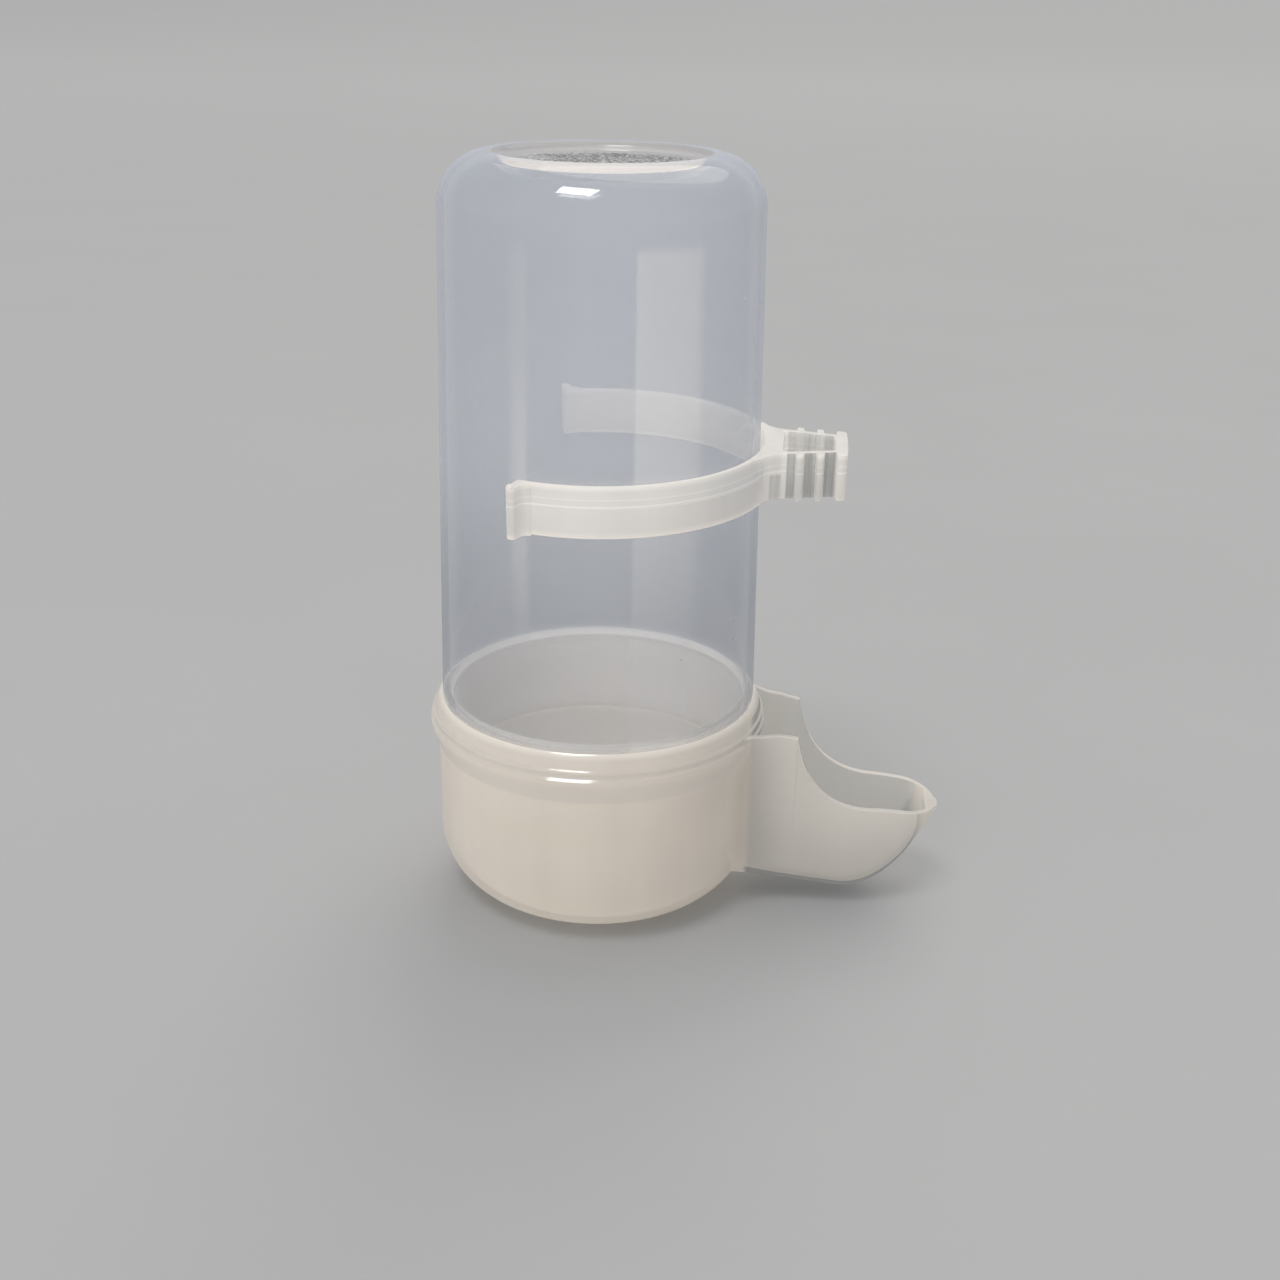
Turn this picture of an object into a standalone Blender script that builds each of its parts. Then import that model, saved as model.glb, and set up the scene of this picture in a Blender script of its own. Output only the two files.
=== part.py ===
"""Siphon drinker for small cage birds: a closed bottle standing mouth-down in a
base cup whose side runs out into an open drinking trough, and a springy C clip
round the bottle that holds the drinker against the wires of a cage.

Frame: +Z up, +X out along the trough, origin at the centre of the flat foot
under the base cup, on the bottle's axis.  Lengths below are in millimetres and
are turned into metres by MM; angles are in degrees.
"""
import bpy
import math
import numpy as np

MM = 0.001
SEGMENTS = 64                 # facets round the cup and the bottle
CORE_SEGMENTS = SEGMENTS + 8  # facets round the core cutter
SHARP_ANGLE = 32.0            # edges that bend more than this are shaded sharp

FINISHES = {
    "bottle": dict(colour=(0.74, 0.80, 0.86, 1.0), roughness=0.18),
    "trough_base": dict(colour=(0.86, 0.83, 0.78, 1.0), roughness=0.42),
    "cage_clip": dict(colour=(0.90, 0.89, 0.86, 1.0), roughness=0.38),
}


# ---- scene, objects and modifiers -----------------------------------------
def clear_scene():
    for ob in list(bpy.data.objects):
        bpy.data.objects.remove(ob, do_unlink=True)
    for mesh in list(bpy.data.meshes):
        if mesh.users == 0:
            bpy.data.meshes.remove(mesh)


def make_material(name):
    finish = FINISHES[name]
    mat = bpy.data.materials.new(name)
    mat.use_nodes = True
    shader = mat.node_tree.nodes["Principled BSDF"]
    shader.inputs["Base Color"].default_value = finish["colour"]
    shader.inputs["Roughness"].default_value = finish["roughness"]
    shader.inputs["Metallic"].default_value = 0.0
    mat.diffuse_color = finish["colour"]
    return mat


def add_mesh(name, verts, faces, origin_z=0.0):
    """Link an object with its origin on the axis; verts are in frame millimetres."""
    mesh = bpy.data.meshes.new(name)
    mesh.from_pydata([(x * MM, y * MM, (z - origin_z) * MM) for x, y, z in verts], [], faces)
    mesh.update()
    ob = bpy.data.objects.new(name, mesh)
    ob.location = (0.0, 0.0, origin_z * MM)
    bpy.context.scene.collection.objects.link(ob)
    return ob


def add_piece(name, verts, faces, origin_z=0.0):
    """Visible piece, with the material of the same name."""
    ob = add_mesh(name, verts, faces, origin_z)
    ob.data.materials.append(make_material(name))
    ob.data.shade_smooth()
    ob.data.set_sharp_from_angle(angle=math.radians(SHARP_ANGLE))
    return ob


def add_helper(name, verts, faces):
    """Unrendered solid that only serves the booleans."""
    ob = add_mesh(name, verts, faces)
    ob.hide_render = True
    ob.display_type = "WIRE"
    return ob


def boolean(ob, tool, operation):
    mod = ob.modifiers.new(operation.lower() + "_" + tool.name, "BOOLEAN")
    mod.operation = operation
    mod.solver = "EXACT"
    mod.object = tool


# ---- curves and solids ----------------------------------------------------
def arc(centre_u, centre_v, radius, start, end, steps):
    """Points on a circle in any plane, from the start angle to the end angle."""
    points = []
    for i in range(steps + 1):
        angle = math.radians(start + (end - start) * i / steps)
        points.append((centre_u + radius * math.cos(angle), centre_v + radius * math.sin(angle)))
    return points


def bezier_curve(p0, p1, p2, p3, steps=24):
    points = []
    for i in range(steps + 1):
        t = i / steps
        u = 1 - t
        points.append(tuple(
            u * u * u * a + 3 * u * u * t * b + 3 * u * t * t * c + t * t * t * d
            for a, b, c, d in zip(p0, p1, p2, p3)))
    return points


def interpolate(points, x):
    """Straight-line height at x through (x, z) points, held level past the ends."""
    xs, heights = zip(*points)
    return float(np.interp(x, xs, heights))


def turned(profile, segments=SEGMENTS):
    """Surface of revolution about Z through (radius, height) points.

    A point on the axis becomes a single vertex.  Faces point outwards where
    the profile climbs and towards the axis where it falls.
    """
    verts, rings = [], []
    for radius, z in profile:
        start = len(verts)
        if radius < 1e-6:
            verts.append((0.0, 0.0, z))
        else:
            for i in range(segments):
                angle = 2 * math.pi * i / segments
                verts.append((radius * math.cos(angle), radius * math.sin(angle), z))
        rings.append(range(start, len(verts)))
    faces = []
    for low, high in zip(rings, rings[1:]):
        for i in range(segments):
            j = (i + 1) % segments
            if len(low) == 1:
                faces.append((low[0], high[j], high[i]))
            elif len(high) == 1:
                faces.append((low[i], low[j], high[0]))
            else:
                faces.append((low[i], low[j], high[j], high[i]))
    return verts, faces


def prism(outline, z0, z1):
    """Upright prism over an anticlockwise (x, y) outline."""
    n = len(outline)
    verts = [(x, y, z) for z in (z0, z1) for x, y in outline]
    faces = [tuple(reversed(range(n))), tuple(range(n, 2 * n))]
    faces += [(i, (i + 1) % n, n + (i + 1) % n, n + i) for i in range(n)]
    return verts, faces


# ---- base cup -------------------------------------------------------------
FOOT_R = 15.4                 # flat foot the cup stands on
BOWL_R = 12.0                 # outside radius of the rounded bottom corner
WALL_T = 1.15                 # moulded wall
MID_WALL = 0.5 * WALL_T
CUP_R = 27.42                 # outside of the plain cup wall
TAPER_Z = 27.3                # the wall starts to swell into the rim here
RIM_R = 28.65                 # widest point of the rim bead
RIM_Z = 31.7
RIM_TOP = 35.8
BORE_R = 26.30                # inside of the cup
CORE_HEADROOM = 4.0           # the core cutter stands this far above the rim

# (radius, height) up the outside of the rim
RIM_PROFILE = [
    (28.45, 30.6), (RIM_R, RIM_Z), (28.47, 32.5), (28.42, 33.2),
    (28.15, 34.4), (27.65, 35.25), (27.1, 35.68), (26.75, RIM_TOP),
]


def make_cup():
    outside = [(0.0, 0.0), (FOOT_R, 0.0)]
    outside += arc(FOOT_R, BOWL_R, BOWL_R, -75, -15, 4)
    outside += [(CUP_R, BOWL_R), (CUP_R + 0.03, TAPER_Z)] + RIM_PROFILE
    inside = [(BORE_R + 0.12, RIM_TOP - 0.3), (BORE_R, RIM_TOP - 0.8), (BORE_R - 0.08, BOWL_R)]
    inside += reversed(arc(FOOT_R, BOWL_R, BOWL_R - WALL_T, -70, -14, 3))
    inside += [(FOOT_R, WALL_T), (0.0, WALL_T)]
    return add_piece("trough_base", *turned(outside + inside))


def make_core_cutter():
    """Fills the cup out to the middle of its wall, where the trough hull stops."""
    profile = [(0.0, MID_WALL), (FOOT_R, MID_WALL)]
    profile += arc(FOOT_R, BOWL_R, BOWL_R - MID_WALL, -70, -14, 4)
    top = RIM_TOP + CORE_HEADROOM
    profile += [(CUP_R - MID_WALL, BOWL_R), (CUP_R - MID_WALL, top), (0.0, top)]
    return add_helper("core_cutter", *turned(profile, CORE_SEGMENTS))


# ---- trough ---------------------------------------------------------------
# plan
STRAIGHT_X = 35.2             # the straight walls start here
STRAIGHT_HALF = 8.8           # outside half width there
WALL_TAPER = 0.085            # the walls close in by this much per mm outwards
FLARE_R = 15.1                # plan radius where the walls run into the cup
BACK_X = 22.6                 # nearer the axis than this ...
BACK_R = 26.9                 # ... the hull keeps within this radius
NOSE_X = 52.5                 # the walls turn into the nose here
TIP_X = 58.9                  # tip of the nose
TIP_Z = 17.65

# section
TROUGH_T = 1.2                # trough wall
KEEL_R = 4.6                  # rounding between the side walls and the floor
FLARE_ROUNDING = 1.15         # growth of the rounding per mm of flare
INSET_ROUNDING = 0.8          # shrinkage of the rounding per mm of inset
ROUNDING_OF_WIDTH = 0.92      # most the rounding takes of the half width
ROUNDING_OF_HEIGHT = 0.8      # most the rounding takes of the height
ROUNDING_STEPS = 5

# underside: a straight slope down from the cup, then a curve up to the nose
KEEL_X, KEEL_Z = 42.0, 2.72
KEEL_SLOPE = 0.1375
KEEL_CURVE = bezier_curve((KEEL_X, KEEL_Z), (50.0, 1.6), (54.5, 10.0), (TIP_X - 0.3, TIP_Z - 0.9))

# top edge, (x, z): back edge to a crisp corner, a sweep down, then a slight droop
CORNER_X, CORNER_Z = 34.7, 31.95
LEDGE_X, LEDGE_Z = 47.0, 18.9
DROOP = 0.0088                # fall per mm squared beyond the sweep
BACK_EDGE = [(27.0, 32.9), (28.8, 32.55), (31.5, 32.5), (33.4, 32.2), (CORNER_X, CORNER_Z)]
SWEEP = bezier_curve((CORNER_X, CORNER_Z), (35.9, 24.5), (39.5, 19.4), (LEDGE_X, LEDGE_Z))

# x of each section
HULL_STATIONS = [
    21.5, 22.7, 24.0, 25.5, 27.0, 29.0, 31.0, 33.0, CORNER_X,
    35.0, 35.5, 36.1, 36.9, 37.9, 39.2, 41.0, 43.0, 45.0, LEDGE_X, 49.0,
    50.8, NOSE_X, 54.0, 55.3, 56.4, 57.3, 58.0, 58.5, 58.8,
]
CHANNEL_STATIONS = [
    24.0, 25.0, 26.2, 27.6, 29.5, 32.0, 35.0, 38.0, 41.0,
    44.0, 47.0, 50.0, 52.0, 53.6, 55.0, 56.0, 56.9,
]
CHANNEL_TOP = 40.0            # flat top of the channel cutter, clear of the hull

# water window through the cup wall into the trough
WINDOW_HALF = 5.5
WINDOW_Z0, WINDOW_Z1 = 6.4, 14.5
WINDOW_X0, WINDOW_X1 = 20.0, 29.0


def straight_half_width(x):
    return STRAIGHT_HALF - WALL_TAPER * (x - STRAIGHT_X)


def trough_half_width(x):
    if x < STRAIGHT_X:
        width = STRAIGHT_HALF + FLARE_R - math.sqrt(FLARE_R ** 2 - (STRAIGHT_X - x) ** 2)
        if x < BACK_X:
            width = min(width, math.sqrt(BACK_R ** 2 - x * x))
        return width
    if x < NOSE_X:
        return straight_half_width(x)
    # elliptical nose
    return straight_half_width(NOSE_X) * math.sqrt(1.0 - ((x - NOSE_X) / (TIP_X - NOSE_X)) ** 2)


def trough_keel(x):
    if x < KEEL_X:
        return KEEL_Z + (KEEL_X - x) * KEEL_SLOPE
    return interpolate(KEEL_CURVE, x)


def trough_top(x):
    if x <= CORNER_X:
        return interpolate(BACK_EDGE, x)
    if x <= LEDGE_X:
        return interpolate(SWEEP, x)
    return LEDGE_Z - DROOP * (x - LEDGE_X) ** 2


def trough_section(x, inset, top):
    """U-shaped (y, z) section: from the +Y top corner, under the keel, to the -Y one."""
    full = trough_half_width(x)
    half = full - inset
    bottom = trough_keel(x) + inset
    # where the walls flare out to the cup, the rounding under them grows too
    flare = max(full - straight_half_width(x), 0.0)
    radius = min(KEEL_R + FLARE_ROUNDING * flare - inset * INSET_ROUNDING,
                 half * ROUNDING_OF_WIDTH,
                 (top - bottom) * ROUNDING_OF_HEIGHT)
    side = [(half, top)]
    side += arc(half - radius, bottom + radius, radius, 0.0, -90.0, ROUNDING_STEPS)
    return side + [(-y, z) for y, z in reversed(side)]


def trough_loft(stations, inset, top_of):
    """Closed solid through the trough sections at the given stations."""
    verts, rings = [], []
    for x in stations:
        start = len(verts)
        verts += [(x, y, z) for y, z in trough_section(x, inset, top_of(x))]
        rings.append(range(start, len(verts)))
    n = len(rings[0])
    faces = []
    for near, far in zip(rings, rings[1:]):
        for i in range(n):
            j = (i + 1) % n
            faces.append((near[i], far[i], far[j], near[j]))
    faces.append(tuple(rings[0]))
    faces.append(tuple(reversed(rings[-1])))
    return verts, faces


def make_trough_hull():
    """Hollowed body of the trough, ending inside the cup's wall."""
    hull = add_helper("trough_hull", *trough_loft(HULL_STATIONS, 0.0, trough_top))
    channel = trough_loft(CHANNEL_STATIONS, TROUGH_T, lambda x: CHANNEL_TOP)
    boolean(hull, add_helper("channel_cutter", *channel), "DIFFERENCE")
    boolean(hull, make_core_cutter(), "DIFFERENCE")
    return hull


def make_window_cutter():
    outline = [(WINDOW_X0, -WINDOW_HALF), (WINDOW_X1, -WINDOW_HALF),
               (WINDOW_X1, WINDOW_HALF), (WINDOW_X0, WINDOW_HALF)]
    return add_helper("window_cutter", *prism(outline, WINDOW_Z0, WINDOW_Z1))


def make_base():
    cup = make_cup()
    boolean(cup, make_trough_hull(), "UNION")
    boolean(cup, make_window_cutter(), "DIFFERENCE")


# ---- bottle ---------------------------------------------------------------
SEAT_GAP = 0.3                # clearance between the cup's rim and the body
BODY_Z = RIM_TOP + SEAT_GAP   # bottom of the body
BODY_R0 = 26.62               # outside, just above the rim
BODY_R1 = 25.46               # outside, where the top shoulder starts
SHOULDER_Z = 116.66           # height where the top shoulder starts
MID_BODY_Z = 75.0             # a ring of vertices part way up the drafted wall
BOTTLE_TOP = 124.75
RING_R = 17.7                 # crest of the standing ring round the top
RECESS_R = 15.7               # sunk disc inside the ring
RECESS_Z = BOTTLE_TOP - 1.75
BOTTLE_T = 1.25               # bottle wall
NECK_R = 25.80                # stepped-in neck that drops into the cup
NECK_BORE = NECK_R - BOTTLE_T
MOUTH_Z = 21.0                # open mouth, in the upper half of the cup


def shoulder(outer_r, top, angles):
    """Quarter ellipse between the side wall and the crest of the ring."""
    return [(RING_R + (outer_r - RING_R) * math.cos(math.radians(angle)),
             SHOULDER_Z + (top - SHOULDER_Z) * math.sin(math.radians(angle)))
            for angle in angles]


def make_bottle():
    draft = (BODY_R1 - BODY_R0) * (MID_BODY_Z - BODY_Z) / (SHOULDER_Z - BODY_Z)
    outside = [
        (NECK_R - 0.25, MOUTH_Z), (NECK_R, MOUTH_Z + 0.25),
        (NECK_R, BODY_Z - 0.5), (NECK_R + 0.45, BODY_Z - 0.08),
        (BODY_R0 - 0.12, BODY_Z), (BODY_R0, BODY_Z + 0.18),
        (BODY_R0 + draft, MID_BODY_Z),
    ]
    outside += shoulder(BODY_R1, BOTTLE_TOP, range(0, 91, 15))
    outside += [
        (16.4, BOTTLE_TOP - 0.25), (RECESS_R + 0.1, BOTTLE_TOP - 0.9),
        (RECESS_R - 0.3, RECESS_Z), (0.0, RECESS_Z),
    ]
    inside = [
        (0.0, RECESS_Z - BOTTLE_T), (RECESS_R - 0.6, RECESS_Z - BOTTLE_T),
        (16.6, BOTTLE_TOP - BOTTLE_T - 0.9),
    ]
    inside += shoulder(BODY_R1 - BOTTLE_T, BOTTLE_TOP - BOTTLE_T, range(90, -1, -15))
    inside += [
        (BODY_R0 - BOTTLE_T, BODY_Z + 0.5), (NECK_BORE, BODY_Z - 1.0),
        (NECK_BORE, MOUTH_Z + 0.25), (NECK_BORE + 0.25, MOUTH_Z),
    ]
    # two skins, joined by a ring of faces round the mouth
    verts, faces = turned(outside)
    outer_count = len(verts)
    inner_verts, inner_faces = turned(inside)
    verts += inner_verts
    faces += [tuple(i + outer_count for i in face) for face in inner_faces]
    last = len(verts) - SEGMENTS
    for i in range(SEGMENTS):
        j = (i + 1) % SEGMENTS
        faces.append((last + i, last + j, j, i))
    return add_piece("bottle", verts, faces, origin_z=MOUTH_Z)


# ---- clip -----------------------------------------------------------------
CLIP_Z0, CLIP_Z1 = 72.7, 80.7
CLIP_RI = 26.60               # inside of the C
CLIP_RO = 28.25               # outside at the ridge
RIDGE_Z = 77.75
CLIP_HALF = 108.0             # the C reaches this far each side of the tail
CLIP_STEPS = 44

LIP_R = 31.0                  # finger lips at the two ends
LIP_T = 1.5
LIP_SETBACK = 0.8             # each lip starts this many degrees short of the end

TAIL_FILLET = 5.0             # plan radius where the tail meets the ring
TAIL_END = 39.9
TAIL_Z0 = 73.2                # underside of the tail, a step above the ring's
TAIL_WALL = 1.1               # wall between the slot and the valleys
SLOT_X0, SLOT_X1 = 29.7, 37.9  # slot through the tail
RIB_T = 1.2
RIB_START, RIB_PITCH = 31.8, 3.2
RIB_XS = [RIB_START + RIB_PITCH * i for i in range(3)]  # ribs on each side of the tail

# (radius, height) round the ring, anticlockwise
RING_SECTION = [
    (CLIP_RI, CLIP_Z0 + 0.15), (CLIP_RI + 0.2, CLIP_Z0),
    (CLIP_RO - 0.55, CLIP_Z0), (CLIP_RO - 0.25, CLIP_Z0 + 0.3),
    (CLIP_RO - 0.12, RIDGE_Z - 0.3), (CLIP_RO, RIDGE_Z), (CLIP_RO - 0.45, RIDGE_Z + 1.4),
    (CLIP_RO - 0.75, CLIP_Z1 - 0.15), (CLIP_RO - 0.95, CLIP_Z1),
    (CLIP_RI + 0.12, CLIP_Z1), (CLIP_RI, CLIP_Z1 - 0.15),
]

# (radius, distance along the arm, positive past its end) round a lip
LIP_PLAN = [
    (CLIP_RI + 0.12, 0.0), (CLIP_RO - 0.1, -1.3), (CLIP_RO + 0.6, -0.25),
    (LIP_R - 0.4, 0.0), (LIP_R, 0.4), (LIP_R, LIP_T - 0.4), (LIP_R - 0.4, LIP_T),
    (CLIP_RI + 0.5, LIP_T), (CLIP_RI + 0.12, LIP_T - 0.4),
]


def make_clip_ring():
    verts, faces = [], []
    n = len(RING_SECTION)
    for i in range(CLIP_STEPS + 1):
        angle = math.radians(-CLIP_HALF + 2 * CLIP_HALF * i / CLIP_STEPS)
        verts += [(r * math.cos(angle), r * math.sin(angle), z) for r, z in RING_SECTION]
    for i in range(CLIP_STEPS):
        for j in range(n):
            k = (j + 1) % n
            faces.append((i * n + j, i * n + k, (i + 1) * n + k, (i + 1) * n + j))
    faces.append(tuple(reversed(range(n))))
    faces.append(tuple(range(CLIP_STEPS * n, (CLIP_STEPS + 1) * n)))
    return add_piece("cage_clip", verts, faces, origin_z=0.5 * (CLIP_Z0 + CLIP_Z1))


def tail_valley(x):
    """Half width of the tail between the ribs."""
    return 6.55 - 0.24 * max(x - 31.2, 0.0)


def tail_rib(x):
    """Half width of the tail over the ribs."""
    return 8.15 - 0.2 * (x - 32.0)


def tail_half_outline():
    """Plan of the tail's +Y half, from inside the ring out to the end."""
    # the fillet touches both the ring and the first valley
    fillet_y = tail_valley(31.0) + TAIL_FILLET
    fillet_x = math.sqrt((CLIP_RO + TAIL_FILLET) ** 2 - fillet_y * fillet_y)
    fillet_start = math.degrees(math.atan2(-fillet_y, -fillet_x))
    half = arc(0.0, 0.0, CLIP_RI + 0.6, 2.0, 24.0, 6)
    half += arc(fillet_x, fillet_y, TAIL_FILLET, fillet_start, -93.0, 6)
    for x in RIB_XS:
        half += [(x, tail_valley(x)), (x + 0.1, tail_rib(x))]
        if x < RIB_XS[-1]:
            end = x + RIB_T
            half += [(end - 0.1, tail_rib(end)), (end, tail_valley(end))]
    # the last rib runs on to the end of the tail
    end_half = tail_rib(TAIL_END)
    half += [(TAIL_END - 0.35, end_half), (TAIL_END - 0.05, end_half - 0.5), (TAIL_END + 0.1, 2.5)]
    return half


def make_tail():
    half = tail_half_outline()
    outline = [(x, -y) for x, y in half] + list(reversed(half))
    return add_helper("tail_block", *prism(outline, TAIL_Z0, CLIP_Z1 - 0.01))


def make_slot_cutter():
    half0 = tail_valley(SLOT_X0) - TAIL_WALL
    half1 = tail_valley(SLOT_X1) - TAIL_WALL
    side = [(SLOT_X0, half0 - 0.8), (SLOT_X0 + 0.5, half0),
            (SLOT_X1 - 0.4, half1), (SLOT_X1, half1 - 0.5)]
    outline = [(x, -y) for x, y in side] + list(reversed(side))
    return add_helper("slot_cutter", *prism(outline, TAIL_Z0 - 2.0, CLIP_Z1 + 2.0))


def make_lip(name, side):
    """Small bar standing out radially at the end of the arm; side is +1 or -1 in Y."""
    angle = math.radians(CLIP_HALF - LIP_SETBACK)
    cos, sin = math.cos(angle), math.sin(angle)
    outline = [(r * cos - along * sin, side * (r * sin + along * cos)) for r, along in LIP_PLAN]
    if side < 0:
        outline.reverse()     # mirroring turned it clockwise
    return add_helper(name, *prism(outline, CLIP_Z0 + 0.02, CLIP_Z1 - 0.02))


def make_clip():
    clip = make_clip_ring()
    boolean(clip, make_tail(), "UNION")
    for name, side in (("lip_far", 1), ("lip_near", -1)):
        boolean(clip, make_lip(name, side), "UNION")
    boolean(clip, make_slot_cutter(), "DIFFERENCE")
    return clip


def main():
    clear_scene()
    make_base()
    bottle = make_bottle()
    clip = make_clip()
    bpy.context.view_layer.update()
    # the clip is carried by the bottle
    clip.parent = bottle
    clip.matrix_parent_inverse = bottle.matrix_world.inverted()


main()
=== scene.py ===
"""Siphon drinker for cage birds, in three moulded pieces of natural polypropylene.

A clear bottle stands mouth down in a milky base cup with a drinking trough, and a
springy C clip holds it to the cage.  The bottle's axis is Z with the foot of the cup
at z = 0, the trough and the clip's tail point along +X, and the camera looks from -Y.
Each piece stands in for its CAD node and rides on the same body.

Meshes are built in millimetres and scaled to metres when finished.  Materials,
studio and camera are in metres.
"""
import math

import bpy
import bmesh
from mathutils import Matrix, Vector, noise


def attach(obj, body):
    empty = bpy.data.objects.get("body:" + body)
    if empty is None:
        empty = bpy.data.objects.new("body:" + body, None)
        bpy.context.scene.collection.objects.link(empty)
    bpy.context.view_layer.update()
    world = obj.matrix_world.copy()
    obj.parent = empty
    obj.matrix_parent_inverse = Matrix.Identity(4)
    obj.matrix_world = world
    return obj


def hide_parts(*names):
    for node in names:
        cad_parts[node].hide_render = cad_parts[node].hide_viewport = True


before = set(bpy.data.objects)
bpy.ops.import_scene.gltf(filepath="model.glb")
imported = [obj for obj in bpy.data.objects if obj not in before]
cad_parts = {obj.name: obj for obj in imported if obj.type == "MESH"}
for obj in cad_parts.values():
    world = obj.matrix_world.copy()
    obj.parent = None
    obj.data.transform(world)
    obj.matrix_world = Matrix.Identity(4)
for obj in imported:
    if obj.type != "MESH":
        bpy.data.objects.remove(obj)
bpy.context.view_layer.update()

MM = 0.001
SEG = 192              # steps round a turned shape
MERGE = 1e-3           # vertices closer than this become one
SHARP_ANGLE = 38.0     # steeper edges are shaded sharp

# ---- base cup (mm) ---------------------------------------------------------
FOOT_R = 15.4          # flat of the foot, where the bowl's curve starts
BOWL_R = 12.0          # radius of that curve
WALL_T = 1.15
CUP_R = 27.42
RIM_TOP = 35.8
BORE_R = 26.30
BORE_LOW_R = 26.2
WINDOW_HALF, WINDOW_Z0, WINDOW_Z1, WINDOW_CORNER = 5.5, 6.4, 14.5, 1.5

# ---- trough (mm) -----------------------------------------------------------
TROUGH_W, TROUGH_W_X = 8.8, 35.2         # half width, and the x where it holds
TROUGH_TAPER = 0.085                     # half width lost per mm towards the nose
TROUGH_FILLET = 15.1                     # plan radius where the sides meet the cup
ROOT_R, ROOT_X = 26.9, 22.6              # the root stays inside this radius before this x
TROUGH_T = 1.2
NOSE_X, TIP_X, TIP_Z = 52.5, 58.9, 17.65
KEEL_X, KEEL_Z, KEEL_SLOPE = 42.0, 2.72, 0.1375
KEEL_R = 4.6                             # rounding between side and keel
SHOULDER_X, SHOULDER_Z = 34.7, 31.95     # top edge where it starts to sweep down
SWEEP_END_X, SWEEP_END_Z = 47.0, 18.9    # ... and where the sweep ends
CHANNEL_NOSE_X = 52.2

# ---- bottle (mm) -----------------------------------------------------------
SEAT_Z = RIM_TOP + 0.3
BODY_R0, BODY_R1 = 26.62, 25.46          # body radius at the seat and at the shoulder
SHOULDER_TOP_Z, BOTTLE_TOP = 116.66, 124.75
RING_R, RECESS_R, RECESS_DEPTH = 17.7, 15.7, 1.75
FLOOR_Z = BOTTLE_TOP - RECESS_DEPTH      # the disc sunk in the bottle's end
DISC_R = 14.9
BOTTLE_T = 1.25
NECK_R, MOUTH_Z = 25.80, 21.0

# ---- clip (mm) -------------------------------------------------------------
CLIP_Z0, CLIP_Z1, CLIP_RIDGE_Z = 72.7, 80.7, 77.75
CLIP_RI, CLIP_RO = 26.60, 28.25
CLIP_HALF = 108.0                        # degrees each way from +X
LIP_R, LIP_T = 31.0, 1.5
TAIL_FILLET, TAIL_END, TAIL_Z0, TAIL_WALL = 5.0, 39.9, 73.2, 1.1
RIB_X, RIB_T = (31.8, 35.0, 38.2), 1.2
VALLEY_X, VALLEY_SLOPE = 31.2, 0.24      # the webs between ribs close in beyond this x
SLOT_X0, SLOT_X1 = 29.7, 37.9
CLIP_ROLL = 2.0        # a sprung clip sits a little askew on the bottle (degrees about X)


# ============================================================================
# mesh helpers
def link_object(name, data):
    ob = bpy.data.objects.new(name, data)
    bpy.context.scene.collection.objects.link(ob)
    return ob


def make_object(name, verts, faces):
    mesh = bpy.data.meshes.new(name)
    mesh.from_pydata(verts, [], faces)
    mesh.update()
    return link_object(name, mesh)


def bake_modifiers(ob):
    """Put the result of an object's modifiers into its mesh."""
    bpy.context.view_layer.update()
    graph = bpy.context.evaluated_depsgraph_get()
    mesh = bpy.data.meshes.new_from_object(ob.evaluated_get(graph))
    old = ob.data
    ob.modifiers.clear()
    ob.data = mesh
    bpy.data.meshes.remove(old)


def boolean(ob, tool, operation):
    mod = ob.modifiers.new(operation, "BOOLEAN")
    mod.operation = operation
    mod.solver = "EXACT"
    mod.object = tool
    bake_modifiers(ob)
    bpy.data.objects.remove(tool, do_unlink=True)


def bevel(ob, width, angle, segments):
    mod = ob.modifiers.new("edges", "BEVEL")
    mod.width = width
    mod.segments = segments
    mod.limit_method = "ANGLE"
    mod.angle_limit = math.radians(angle)
    mod.use_clamp_overlap = True
    mod.miter_outer = "MITER_ARC"
    bake_modifiers(ob)


def clean(ob):
    bm = bmesh.new()
    bm.from_mesh(ob.data)
    bmesh.ops.remove_doubles(bm, verts=bm.verts, dist=MERGE)
    bmesh.ops.dissolve_degenerate(bm, edges=bm.edges, dist=MERGE * 0.5)
    bmesh.ops.recalc_face_normals(bm, faces=bm.faces)
    bm.to_mesh(ob.data)
    bm.free()


def turned(profile, seg=SEG):
    """Turn a profile of (radius, z) about Z; a point on the axis becomes one vertex."""
    verts, rings = [], []
    for radius, z in profile:
        start = len(verts)
        if radius < 1e-6:
            verts.append((0.0, 0.0, z))
        else:
            verts += [(radius * math.cos(2 * math.pi * i / seg),
                       radius * math.sin(2 * math.pi * i / seg), z) for i in range(seg)]
        rings.append(list(range(start, len(verts))))
    faces = []
    for low, high in zip(rings, rings[1:]):
        for i in range(seg):
            j = (i + 1) % seg
            if len(low) == 1:
                faces.append((low[0], high[j], high[i]))
            elif len(high) == 1:
                faces.append((low[i], low[j], high[0]))
            else:
                faces.append((low[i], low[j], high[j], high[i]))
    return verts, faces


def prism(outline, low, high, along_x=False):
    """A straight prism along Z from an (x, y) outline, or along X from a (y, z) one."""
    count = len(outline)
    verts = [(level, *point) if along_x else (*point, level)
             for level in (low, high) for point in outline]
    faces = [tuple(reversed(range(count))), tuple(range(count, 2 * count))]
    faces += [(i, (i + 1) % count, count + (i + 1) % count, count + i) for i in range(count)]
    return verts, faces


def arc(centre_x, centre_y, radius, start, end, steps):
    """Points of an arc; angles in degrees."""
    angles = [math.radians(start + (end - start) * i / steps) for i in range(steps + 1)]
    return [(centre_x + radius * math.cos(a), centre_y + radius * math.sin(a)) for a in angles]


def rounded_outline(corners, steps):
    """Outline from corners of (centre x, centre y, radius, start angle)."""
    outline = []
    for x, y, radius, start in corners:
        outline += arc(x, y, radius, start, start + 90, steps)
    return outline


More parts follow.
